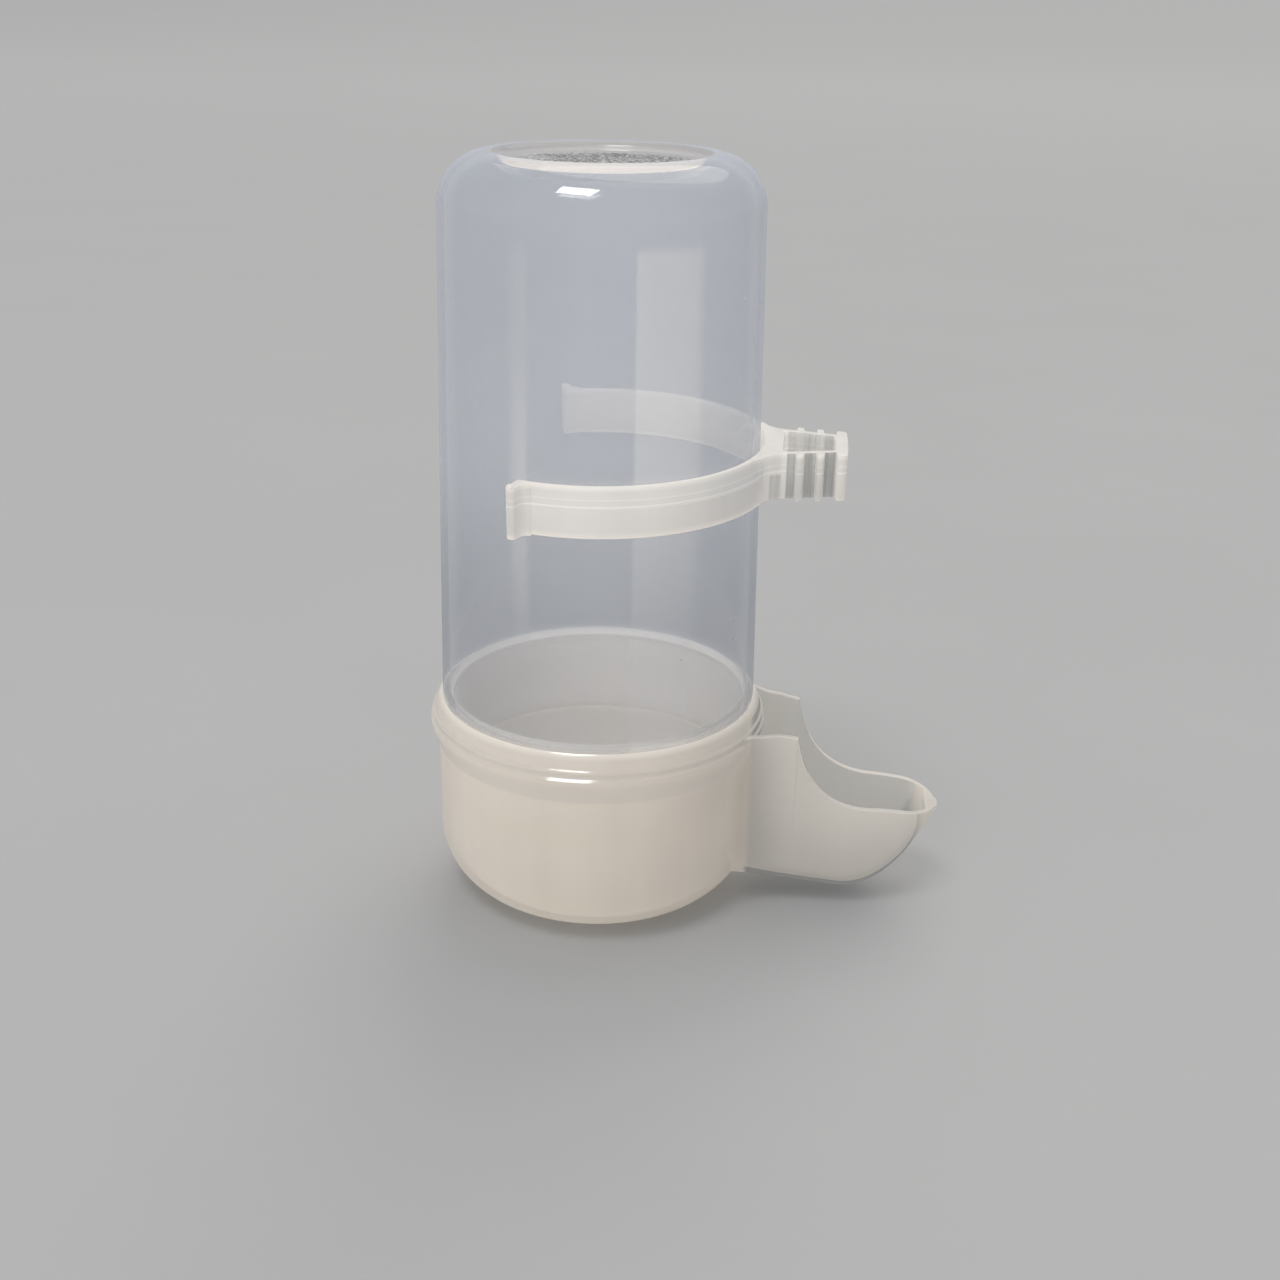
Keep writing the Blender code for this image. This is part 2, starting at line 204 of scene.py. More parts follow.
def bezier(ends_and_handles, steps):
    """Cubic curve through four control points, both ends included."""
    curve = []
    for i in range(steps + 1):
        t = i / steps
        u = 1 - t
        curve.append(tuple(u * u * u * a + 3 * u * u * t * b + 3 * u * t * t * c + t * t * t * d
                           for a, b, c, d in zip(*ends_and_handles)))
    return curve


def interp(points, x):
    """Straight-line lookup in a table of (x, value)."""
    if x <= points[0][0]:
        return points[0][1]
    for (x0, y0), (x1, y1) in zip(points, points[1:]):
        if x <= x1:
            return y0 + (y1 - y0) * (x - x0) / (x1 - x0)
    return points[-1][1]


def smooth_curve(points, steps):
    """Catmull-Rom curve through the points, so many steps to a span."""
    padded = [points[0]] + list(points) + [points[-1]]
    curve = []
    for k in range(1, len(padded) - 2):
        for i in range(steps):
            t = i / steps
            curve.append(tuple(
                0.5 * (2 * b + (c - a) * t + (2 * a - 5 * b + 4 * c - d) * t * t
                       + (3 * b - a - 3 * c + d) * t ** 3)
                for a, b, c, d in zip(*padded[k - 1:k + 3])))
    curve.append(points[-1])
    return curve


def spread(start, end, steps, last=True):
    """Evenly spaced values, with or without the last one."""
    return [start + (end - start) * i / steps for i in range(steps + (1 if last else 0))]


def tightening(start, end, steps):
    """Values that come closer together towards the end."""
    return [start + (end - start) * math.sin(math.radians(90.0 * i / steps))
            for i in range(steps + 1)]


def finish_piece(ob, body, node, material):
    ob.data.transform(Matrix.Scale(MM, 4))
    ob.data.materials.clear()
    ob.data.materials.append(material)
    for poly in ob.data.polygons:
        poly.material_index = 0
    ob.data.shade_smooth()
    ob.data.set_sharp_from_angle(angle=math.radians(SHARP_ANGLE))
    ob.data.update()
    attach(ob, body)
    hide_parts(node)


# ============================================================================
# trough: every shape is a function of x, the distance from the bottle's axis
KEEL_CURVE = bezier([(KEEL_X, KEEL_Z), (50.0, 1.6), (54.5, 10.0), (TIP_X - 0.3, TIP_Z - 0.9)], 80)
SWEEP = bezier([(SHOULDER_X, SHOULDER_Z), (35.9, 24.5), (39.5, 19.4),
                (SWEEP_END_X, SWEEP_END_Z)], 80)
# (x, z) of the trough's top edge from the cup to the shoulder
ROOT_TOP = [(27.0, 32.9), (28.8, 32.55), (31.5, 32.5), (33.4, 32.2), (SHOULDER_X, SHOULDER_Z)]
# (x, half width) of the flash at the tip
FLASH = [(57.2, 2.3), (58.15, 2.35), (58.75, 1.9), (59.15, 1.1), (59.28, 0.0)]


def tapered_width(x):
    return TROUGH_W - TROUGH_TAPER * (x - TROUGH_W_X)


def trough_half_width(x):
    if x < TROUGH_W_X:
        back = TROUGH_W_X - x
        width = TROUGH_W + TROUGH_FILLET - math.sqrt(max(TROUGH_FILLET ** 2 - back * back, 0.0))
        if x < ROOT_X:
            width = min(width, math.sqrt(max(ROOT_R ** 2 - x * x, 1.0)))
        return width
    if x < NOSE_X:
        return tapered_width(x)
    along = (x - NOSE_X) / (TIP_X - NOSE_X)
    return tapered_width(NOSE_X) * math.sqrt(max(1.0 - along ** 2, 0.0))


def trough_keel(x):
    return KEEL_Z + (KEEL_X - x) * KEEL_SLOPE if x < KEEL_X else interp(KEEL_CURVE, x)


def trough_top(x):
    if x <= SHOULDER_X:
        return interp(ROOT_TOP, x)
    if x <= SWEEP_END_X:
        return interp(SWEEP, x)
    return SWEEP_END_Z - 0.0088 * (x - SWEEP_END_X) ** 2


def trough_section(x, inset, top, steps=12):
    """(y, z) section of the trough, drawn in by inset, up to a level top."""
    full = trough_half_width(x)
    width = max(full - inset, 0.05)
    bottom = trough_keel(x) + inset
    flare = max(full - tapered_width(x), 0.0)
    radius = min(max(KEEL_R + 1.15 * flare - inset * 0.8, 0.4),
                 width * 0.92, max((top - bottom) * 0.8, 0.05))
    half = [(width, top)] + arc(width - radius, bottom + radius, radius, 0.0, -90.0, steps)
    return half + [(-y, z) for y, z in reversed(half)]


def loft(stations, inset, top_of):
    """Skin over the trough's sections at the stations, closed at both ends."""
    verts, rings = [], []
    for x in stations:
        section = trough_section(x, inset, top_of(x))
        rings.append(list(range(len(verts), len(verts) + len(section))))
        verts += [(x, y, z) for y, z in section]
    count = len(rings[0])
    faces = []
    for a, b in zip(rings, rings[1:]):
        faces += [(a[i], b[i], b[(i + 1) % count], a[(i + 1) % count]) for i in range(count)]
    faces += [tuple(rings[0]), tuple(reversed(rings[-1]))]
    return verts, faces


def make_trough():
    stations = spread(21.5, 33.0, 24, False) + spread(33.0, SHOULDER_X, 6, False)
    stations += [x for x, z in SWEEP[0:80:2]]
    stations += spread(SWEEP_END_X, NOSE_X, 10, False) + tightening(NOSE_X, 58.86, 22)
    hull = make_object("hull", *loft(stations, 0.0, trough_top))

    stations = spread(24.0, 50.0, 60, False) + spread(50.0, CHANNEL_NOSE_X, 6, False)
    stations += tightening(CHANNEL_NOSE_X, 57.05, 18)
    channel = make_object("channel", *loft(stations, TROUGH_T, lambda x: 40.0))
    boolean(hull, channel, "DIFFERENCE")

    # thin lip of flash that stands out under the edge at the tip of the nose
    edge = smooth_curve(FLASH, 4)
    plan = [(x, -y) for x, y in edge] + edge[-2::-1]
    boolean(hull, make_object("flash", *prism(plan, 16.75, 17.52)), "UNION")
    clean(hull)
    bevel(hull, width=0.34, angle=42, segments=3)

    # cut away what reaches inside the cup, to half way through its wall
    mid = 0.5 * WALL_T
    core = [(0.0, mid), (FOOT_R, mid)] + arc(FOOT_R, BOWL_R, BOWL_R - mid, -85, -5, 14)
    core += [(CUP_R - mid, BOWL_R), (CUP_R - mid, RIM_TOP + 4.0), (0.0, RIM_TOP + 4.0)]
    boolean(hull, make_object("core", *turned(core, SEG + 8)), "DIFFERENCE")
    return hull


# ============================================================================
# base cup; profiles are (radius, z)
# underside of the rim, rising from a crisp corner
RIM_UNDERSIDE = [(27.5, 27.5), (27.86, 28.6), (28.28, 29.8), (28.56, 30.7), (28.68, 31.25),
                 (28.70, 31.62)]
# upper half of the rim, with two small rounded steps round it
RIM_STEPS = [
    (28.70, 31.72), (28.67, 31.75), (28.45, 31.97), (28.42, 32.0), (28.33, 32.08),
    (28.30, 32.25), (28.30, 32.8), (28.36, 33.06), (28.37, 33.2), (28.34, 33.24),
    (28.13, 33.45), (28.10, 33.48), (28.02, 33.56), (27.97, 33.74), (27.86, 34.2),
    (27.5, 34.9), (27.15, 35.42), (26.96, 35.66), (26.8, RIM_TOP)]
BORE = [(26.55, RIM_TOP - 0.08), (26.42, RIM_TOP - 0.3), (BORE_R, RIM_TOP - 0.9),
        (26.28, 30.0), (26.26, 24.0), (26.23, 18.0), (BORE_LOW_R, 12.5)]


def make_cup():
    outside = [(0.0, 0.0), (8.0, 0.0), (FOOT_R - 0.6, 0.0)]
    outside += arc(FOOT_R, BOWL_R, BOWL_R, -88, -2, 26)
    outside += [(CUP_R, z) for z in (13.0, 16.0, 19.0, 22.0, 25.0, 26.6, 27.15)]
    outside += smooth_curve(RIM_UNDERSIDE, 3) + RIM_STEPS
    bowl = reversed(arc(FOOT_R, BOWL_R, BOWL_R - WALL_T, -88, -5, 20))
    inside = BORE + [(min(radius, BORE_LOW_R), z) for radius, z in bowl]
    inside += [(8.0, WALL_T), (0.0, WALL_T)]
    return make_object("base_piece", *turned(outside + inside))


def make_window():
    """Rounded cutter for the opening from the cup into the trough."""
    side = WINDOW_HALF - WINDOW_CORNER
    low, high = WINDOW_Z0 + WINDOW_CORNER, WINDOW_Z1 - WINDOW_CORNER
    corners = [(side, low, WINDOW_CORNER, -90), (side, high, WINDOW_CORNER, 0),
               (-side, high, WINDOW_CORNER, 90), (-side, low, WINDOW_CORNER, 180)]
    return make_object("window", *prism(rounded_outline(corners, 6), 20.0, 29.0, along_x=True))


def make_base():
    cup = make_cup()
    boolean(cup, make_trough(), "UNION")
    boolean(cup, make_window(), "DIFFERENCE")
    clean(cup)
    return cup


# ============================================================================
# bottle
def bottle_wall(radius_0, radius_1, heights):
    """The body's straight taper between its radii at the seat and the shoulder."""
    return [(radius_0 + (radius_1 - radius_0) * (z - SEAT_Z) / (SHOULDER_TOP_Z - SEAT_Z), z)
            for z in heights]


def bottle_shoulder(across, rise, angles):
    """Quarter ellipse from the body in to the ring at the bottle's end."""
    return [(RING_R + across * math.cos(math.radians(a)),
             SHOULDER_TOP_Z + rise * math.sin(math.radians(a))) for a in angles]


def bottle_outside():
    """Profile from the mouth to the edge of the sunk disc."""
    profile = [(NECK_R - 0.3, MOUTH_Z), (NECK_R - 0.08, MOUTH_Z + 0.08), (NECK_R, MOUTH_Z + 0.3)]
    profile += [(NECK_R, z) for z in spread(22.5, 34.0, 5)]
    profile += [(NECK_R, SEAT_Z - 0.55), (NECK_R + 0.12, SEAT_Z - 0.28),
                (NECK_R + 0.4, SEAT_Z - 0.1), (BODY_R0 - 0.2, SEAT_Z - 0.02),
                (BODY_R0 - 0.05, SEAT_Z + 0.08), (BODY_R0, SEAT_Z + 0.25)]
    profile += bottle_wall(BODY_R0, BODY_R1, spread(38.0, 115.0, 40))
    profile += bottle_shoulder(BODY_R1 - RING_R, BOTTLE_TOP - SHOULDER_TOP_Z,
                               spread(0.0, 90.0, 30))
    profile += smooth_curve([
        (17.1, BOTTLE_TOP - 0.03), (16.55, BOTTLE_TOP - 0.2), (16.05, BOTTLE_TOP - 0.6),
        (15.75, BOTTLE_TOP - 1.1), (15.5, BOTTLE_TOP - 1.5), (15.1, FLOOR_Z + 0.02)], 3)
    return profile


def bottle_inside():
    """Profile from the middle of the end down to the mouth."""
    ceiling = FLOOR_Z - BOTTLE_T
    radius_0, radius_1 = BODY_R0 - BOTTLE_T, BODY_R1 - BOTTLE_T
    neck = NECK_R - BOTTLE_T
    profile = [(0.0, ceiling), (7.0, ceiling)]
    profile += smooth_curve([
        (RECESS_R - 1.6, ceiling), (RECESS_R - 0.5, ceiling + 0.12),
        (16.4, BOTTLE_TOP - BOTTLE_T - 0.75), (17.1, BOTTLE_TOP - BOTTLE_T - 0.15)], 4)
    profile += bottle_shoulder(radius_1 - RING_R, BOTTLE_TOP - SHOULDER_TOP_Z - BOTTLE_T,
                               spread(90.0, 0.0, 30))
    profile += bottle_wall(radius_0, radius_1, spread(115.0, 38.0, 40))
    profile += [(radius_0 - 0.05, SEAT_Z + 0.6), (radius_0 - 0.35, SEAT_Z - 0.1),
                (neck + 0.1, SEAT_Z - 0.7), (neck, SEAT_Z - 1.3)]
    profile += [(neck, z) for z in spread(33.0, 22.5, 5)]
    profile += [(neck, MOUTH_Z + 0.3), (neck + 0.08, MOUTH_Z + 0.08), (neck + 0.3, MOUTH_Z)]
    return profile


def roughen_disc(verts, first):
    """Coarse grain on the sunk disc, and the low pip where it was filled in the mould."""
    pip_r, pip_height, grain_height = 1.3, 0.35, 0.13
    for i in range(first, len(verts)):
        x, y, z = verts[i]
        radius = math.hypot(x, y)
        fade = min(max((DISC_R - radius) / 0.8, 0.0), 1.0)
        grain = (noise.noise(Vector((x * 1.9, y * 1.9, 3.1)))
                 + 0.8 * noise.noise(Vector((x * 4.3, y * 4.3, 8.7))))
        pip = pip_height * max(0.0, 1.0 - (radius / pip_r) ** 4)
        verts[i] = (x, y, z + grain_height * grain * fade + pip)


def make_bottle():
    """The bottle, and the first and last-plus-one of its inside faces."""
    outside = bottle_outside()
    rings = 48
    disc = [(DISC_R * (1 - i / rings) ** 0.8, FLOOR_Z) for i in range(rings)] + [(0.0, FLOOR_Z)]
    verts, faces = turned(outside + disc)
    roughen_disc(verts, len(outside) * SEG)

    outer_verts, inner_from = len(verts), len(faces)
    inner_verts, inner_faces = turned(bottle_inside())
    verts += inner_verts
    faces += [tuple(i + outer_verts for i in face) for face in inner_faces]
    inner_to = len(faces)
    # join the two skins round the mouth
    last = len(verts) - SEG
    faces += [(last + i, last + (i + 1) % SEG, (i + 1) % SEG, i) for i in range(SEG)]
    return make_object("bottle_piece", verts, faces), inner_from, inner_to


# ============================================================================
# clip
# (radius, z) section of the band, anticlockwise from its inner bottom corner
BAND_SECTION = [
    (CLIP_RI, CLIP_Z0 + 0.3), (CLIP_RI + 0.09, CLIP_Z0 + 0.09), (CLIP_RI + 0.3, CLIP_Z0),
    (CLIP_RO - 0.62, CLIP_Z0), (CLIP_RO - 0.38, CLIP_Z0 + 0.09), (CLIP_RO - 0.27, CLIP_Z0 + 0.33),
    (CLIP_RO - 0.2, CLIP_RIDGE_Z - 0.42), (CLIP_RO - 0.04, CLIP_RIDGE_Z - 0.26),
    (CLIP_RO + 0.02, CLIP_RIDGE_Z - 0.06), (CLIP_RO - 0.05, CLIP_RIDGE_Z + 0.14),
    (CLIP_RO - 0.2, CLIP_RIDGE_Z + 0.36), (CLIP_RO - 0.48, CLIP_RIDGE_Z + 1.5),
    (CLIP_RO - 0.76, CLIP_Z1 - 0.3), (CLIP_RO - 0.86, CLIP_Z1 - 0.08), (CLIP_RO - 1.05, CLIP_Z1),
    (CLIP_RI + 0.22, CLIP_Z1), (CLIP_RI + 0.06, CLIP_Z1 - 0.07), (CLIP_RI, CLIP_Z1 - 0.25)]


def make_band():
    steps, count = 150, len(BAND_SECTION)
    verts, faces = [], []
    for i in range(steps + 1):
        a = math.radians(-CLIP_HALF + 2 * CLIP_HALF * i / steps)
        verts += [(radius * math.cos(a), radius * math.sin(a), z) for radius, z in BAND_SECTION]
    for i in range(steps):
        here, after = i * count, (i + 1) * count
        faces += [(here + j, here + (j + 1) % count, after + (j + 1) % count, after + j)
                  for j in range(count)]
    faces += [tuple(reversed(range(count))), tuple(range(steps * count, (steps + 1) * count))]
    return make_object("clip_piece", verts, faces)


def tail_valley(x):
    """Half width of the tail between its ribs."""
    return 6.55 - VALLEY_SLOPE * max(x - VALLEY_X, 0.0)


def tail_rib(x):
    """Half width of the tail at a rib."""
    return 8.15 - 0.2 * (x - 32.0)


def tail_outline():
    """(x, y) of the tail's +Y half, from inside the band to the end."""
    centre_y = tail_valley(31.0) + TAIL_FILLET
    centre_x = math.sqrt((CLIP_RO + TAIL_FILLET) ** 2 - centre_y * centre_y)
    start = math.degrees(math.atan2(-centre_y, -centre_x))
    half = arc(0.0, 0.0, CLIP_RI + 0.6, 1.0, 24.0, 14)
    half += arc(centre_x, centre_y, TAIL_FILLET, start, -93.0, 16)
    for x in RIB_X:
        half += [(x - 0.06, tail_valley(x)), (x + 0.1, tail_rib(x) - 0.05)]
        if x != RIB_X[-1]:
            end = x + RIB_T
            half += [(end - 0.1, tail_rib(end) - 0.05), (end + 0.06, tail_valley(end))]
    half += [(TAIL_END - 0.5, tail_rib(TAIL_END)), (TAIL_END - 0.05, tail_rib(TAIL_END) - 0.5),
             (TAIL_END + 0.1, 2.5)]
    return half


def make_tail():
    half = tail_outline()
    plan = [(x, -y) for x, y in half] + half[::-1]
    tail = make_object("tail", *prism(plan, TAIL_Z0, CLIP_Z1 - 0.02))
    root, end = 0.9, 0.7      # corner radii of the slot
    root_y = tail_valley(SLOT_X0) - TAIL_WALL - root
    end_y = tail_valley(SLOT_X1) - TAIL_WALL - end
    corners = [(SLOT_X1 - end, end_y, end, 0), (SLOT_X0 + root, root_y, root, 90),
               (SLOT_X0 + root, -root_y, root, 180), (SLOT_X1 - end, -end_y, end, 270)]
    slot = prism(rounded_outline(corners, 5), TAIL_Z0 - 2.0, CLIP_Z1 + 2.0)
    boolean(tail, make_object("slot", *slot), "DIFFERENCE")
    clean(tail)
    bevel(tail, width=0.2, angle=40, segments=2)
    return tail


def lip_point(side, radius, offset):
    """(x, y) at a radius, and an offset past the band's end; side is 1 for +Y, -1 for -Y."""
    angle = math.radians(CLIP_HALF - 0.8)
    outward = (math.cos(angle), side * math.sin(angle))
    along = (-math.sin(angle), side * math.cos(angle))
    return (radius * outward[0] + offset * along[0], radius * outward[1] + offset * along[1])


def make_lip(side):
    """Lip that turns outward at one end of the band."""
    corner = 0.55
    # (radius, offset)
    plan = [(CLIP_RI + 0.12, 0.0), (CLIP_RO - 0.1, -1.5), (CLIP_RO + 0.15, -0.85),
            (CLIP_RO + 0.55, -0.3), (CLIP_RO + 1.0, -0.05)]
    plan += arc(LIP_R - corner, corner, corner, -90, 0, 5)
    plan += arc(LIP_R - corner, LIP_T - corner, corner, 0, 90, 5)
    plan += [(CLIP_RI + 0.5, LIP_T), (CLIP_RI + 0.2, LIP_T - 0.12), (CLIP_RI + 0.12, LIP_T - 0.4)]
    outline = [lip_point(side, radius, offset) for radius, offset in plan]
    if side < 0:
        outline.reverse()
    lip = make_object("lip", *prism(outline, CLIP_Z0 - 0.1, CLIP_Z1 + 0.05))
    bevel(lip, width=0.22, angle=50, segments=2)
    return lip


def make_bulb():
    """Bulb of flash on the top corner of the -Y lip."""
    x, y = lip_point(-1, LIP_R - 0.25, LIP_T * 0.5)
    bm = bmesh.new()
    bmesh.ops.create_icosphere(bm, subdivisions=3, radius=0.55)
    for vert in bm.verts:
        vert.co = Vector((x + vert.co.x, y + vert.co.y, CLIP_Z1 + 0.12 + vert.co.z * 0.85))
    mesh = bpy.data.meshes.new("bulb")
    bm.to_mesh(mesh)
    bm.free()
    return link_object("bulb", mesh)


def make_clip():
    clip = make_band()
    boolean(clip, make_tail(), "UNION")
    for side in (1, -1):
        boolean(clip, make_lip(side), "UNION")
    boolean(clip, make_bulb(), "UNION")
    clean(clip)
    pivot = Matrix.Translation((0.0, 0.0, 0.5 * (CLIP_Z0 + CLIP_Z1)))
    roll = Matrix.Rotation(math.radians(CLIP_ROLL), 4, "X")
    clip.data.transform(pivot @ roll @ pivot.inverted())
    return clip


# ============================================================================
# node helpers
class Field:
    """A node's output; arithmetic on it adds math nodes."""

    def __init__(self, tree, socket):
        self.tree = tree
        self.socket = socket

    def __add__(self, other):
        return self.tree.math("ADD", self, other)

    def __radd__(self, other):
        return self.tree.math("ADD", other, self)

    def __sub__(self, other):
        return self.tree.math("SUBTRACT", self, other)

    def __rsub__(self, other):
        return self.tree.math("SUBTRACT", other, self)

    def __mul__(self, other):
        return self.tree.math("MULTIPLY", self, other)

    def __pow__(self, other):
        return self.tree.math("POWER", self, other)

    def __lt__(self, other):
        return self.tree.math("LESS_THAN", self, other)

    def __gt__(self, other):
        return self.tree.math("GREATER_THAN", self, other)

    def __abs__(self):
        return self.tree.math("ABSOLUTE", self)


class Tree:
    """Short hand for building a material's nodes; point is the place in the object."""

    def __init__(self, name):
        self.material = bpy.data.materials.new(name)
        self.material.use_nodes = True
        self.nodes = self.material.node_tree.nodes
        self.nodes.clear()
        self.x = 0
        self.point = self.field("ShaderNodeTexCoord", output="Object")

    def put(self, socket, value):
        """Link a field to an input, or set the input's value."""
        if isinstance(value, Field):
            self.material.node_tree.links.new(value.socket, socket)
            return
        if hasattr(socket.default_value, "__len__"):
            value = tuple(value)
            if len(value) == 3 and len(socket.default_value) == 4:
                value += (1.0,)
        socket.default_value = value

    def add(self, kind, inputs=None, **props):
        node = self.nodes.new(kind)
        self.x += 180
        node.location = (self.x, 0)
        for key, value in props.items():
            setattr(node, key, value)
        for key, value in (inputs or {}).items():
            self.put(node.inputs[key], value)
        return node

    def field(self, kind, inputs=None, output=0, **props):
        return Field(self, self.add(kind, inputs, **props).outputs[output])

    def math(self, operation, *values, clamp=False):
        return self.field("ShaderNodeMath", dict(enumerate(values)),
                          operation=operation, use_clamp=clamp)

    def maximum(self, a, b):
        return self.math("MAXIMUM", a, b)

    def remap(self, value, start, end, first, last, smooth=False):
        """Carry start..end to first..last, held beyond both."""
        return self.field("ShaderNodeMapRange", {
            "Value": value, "From Min": start, "From Max": end, "To Min": first, "To Max": last,
        }, interpolation_type="SMOOTHSTEP" if smooth else "LINEAR")

    def rise(self, value, start, end, top=1.0):
        """Smooth step from 0 at start to top at end."""
        return self.remap(value, start, end, 0.0, top, smooth=True)

    def fall(self, value, start, end, top=1.0):
        """Smooth step from top at start to 0 at end."""
        return self.remap(value, start, end, top, 0.0, smooth=True)

    def split(self, vector):
        node = self.add("ShaderNodeSeparateXYZ", {"Vector": vector})
        return [Field(self, socket) for socket in node.outputs]

    def normal(self):
        return self.split(self.field("ShaderNodeNewGeometry", output="Normal"))

    def facing(self):
        """0 where a surface is seen square on, 1 where it is seen edge on."""
        return self.field("ShaderNodeLayerWeight", {"Blend": 0.5}, output="Facing")

    def mix_colour(self, share, a, b):
        return self.field("ShaderNodeMix", {0: share, 6: a, 7: b}, output=2, data_type="RGBA")

    def noise(self, vector, scale, detail, rough=0.5):
        return self.field("ShaderNodeTexNoise", {
            "Vector": vector, "Scale": scale, "Detail": detail, "Roughness": rough})

    def stretched(self, scale):
        return self.field("ShaderNodeVectorMath", {0: self.point, 1: scale}, operation="MULTIPLY")

    def bump(self, height, strength, distance):
        return self.field("ShaderNodeBump", {
            "Height": height, "Strength": strength, "Distance": distance})

    def bsdf(self, kind, **inputs):
        """A BSDF node, such as Diffuse or Glossy, with its inputs by name."""
        return self.field("ShaderNodeBsdf" + kind, inputs)

    def mix(self, share, a, b):
        return self.field("ShaderNodeMixShader", {0: share, 1: a, 2: b})

    def add_mirror(self, body, mirror, facing, edge, base):
        """Put a mirror over the body: base everywhere, and edge more where seen edge on."""
        return self.mix(facing ** 5.0 * edge + base, body, mirror)

    def pass_lamps(self, surface, colour):
        """Lamps light the inside through the wall."""
        lamp = self.bsdf("Transparent", Color=colour)
        ray = self.field("ShaderNodeLightPath", output="Is Shadow Ray")
        return self.mix(ray, surface, lamp)

    def out(self, surface):
        self.add("ShaderNodeOutputMaterial", {"Surface": surface})
        return self.material


# ============================================================================
# materials; lengths in metres
WHITE = (1.0, 1.0, 1.0)


def add_dust(tree, cool, dust):
    """Pale specks in a share of the cells; gives the colour and the specks' mask."""
    cell = tree.add("ShaderNodeTexVoronoi",
                    {"Vector": tree.point, "Scale": 260.0, "Randomness": 1.0})
    dot = tree.remap(Field(tree, cell.outputs["Distance"]), 0.03, 0.065, 1.0, 0.0)
    pick = tree.field("ShaderNodeSeparateColor", {"Color": Field(tree, cell.outputs["Color"])})
    marks = dot * (pick < dust)
    return tree.mix_colour(marks, cool, (0.93, 0.93, 0.92)), marks


def painted_light_bands(tree):
    """Painted light: a broad pale strip down the bottle and a narrow one beside it."""
    x, y, z = tree.split(tree.point)
    turn = tree.math("ARCTAN2", y, x)      # radians from +X
    high = tree.fall(z, 0.1125, 0.1145)
    broad = tree.rise(turn, -1.262, -1.245) * tree.fall(turn, -0.88, -0.80)
    slim = tree.rise(turn, -2.02, -1.96) * tree.fall(turn, -1.90, -1.88)
    slim = slim * tree.remap(z, 0.075, 0.100, 0.85, 0.25)
    slim = slim * tree.remap(z, 0.045, 0.062, 0.0, 1.0)
    return (broad + slim) * high


def paint_edge_glow(tree, cool, amount, *, up, bottom, top, reach, ridge):
    """Painted glow on thin moulded edges, standing in for the light that runs along inside the
    plastic, and painted highlights and shade at a ridge.

    Heights are measured along up; reach is how far the glow comes in from an edge.
    """
    height = tree.field("ShaderNodeVectorMath", {0: tree.point, 1: up}, output="Value",
                        operation="DOT_PRODUCT")
    # painted glow near the bottom and top edges
    edge_glow = tree.maximum(tree.fall(height, bottom, bottom + reach),
                        tree.rise(height, top - reach, top, top=0.7))
    cool = tree.mix_colour(edge_glow, cool, (0.95, 0.92, 0.88))

    def line(at, wide):
        return tree.fall(abs(height - at), wide * 0.4, wide)

    # painted highlight: a line of light on the ridge, with a fainter one above it; painted shade
    # on both sides
    below = (tree.rise(height, ridge - 0.0034, ridge - 0.0004, top=0.75)
             * (height < ridge - 0.0001))
    cool = tree.mix_colour(below, cool, (0.66, 0.675, 0.70))
    above = tree.fall(height, ridge + 0.0018, ridge + 0.0025, top=0.75) * (height > ridge)
    cool = tree.mix_colour(above, cool, (0.60, 0.62, 0.65))
    ridge_highlights = tree.maximum(line(ridge, wide=0.00022), line(ridge + 0.0010, wide=0.0002) * 0.5)
    cool = tree.mix_colour(ridge_highlights, cool, WHITE)
    return cool, tree.math("ADD", amount, edge_glow * 0.2, clamp=True)


def paint_inner_face_light(tree, cool, warm, colour):
    """Painted light on the side of the clip that faces the bottle, which makes it plain and pale.
    """
    x, y, z = tree.split(tree.point)
    normal = tree.normal()
    outward = x * normal[0] + y * normal[1]
    inner_face_light = (outward < -0.018) * (x < 0.0276) * 0.9
    return tree.mix_colour(inner_face_light, cool, colour), tree.mix_colour(inner_face_light, warm, colour)


def add_region(tree, cool, warm, amount, clear_tint, *, mask, grey, thinner, clear_grey,
               pale_mask=None, pale=None):
    """Part of a piece that scatters less and is greyer, in places with painted shade, and a part
    that is paler with painted light.
    """
    cool = tree.mix_colour(mask, cool, grey)
    warm = tree.mix_colour(mask, warm, grey)
    amount = tree.math("SUBTRACT", amount, mask * thinner, clamp=True)
    clear_tint = tree.mix_colour(mask, clear_tint, clear_grey)
    # painted light: the paler part
    if pale_mask is not None:
        cool = tree.mix_colour(pale_mask, cool, pale)
        warm = tree.mix_colour(pale_mask, warm, pale)
        amount = tree.math("ADD", amount, pale_mask * 0.18, clamp=True)
    return cool, warm, amount, clear_tint


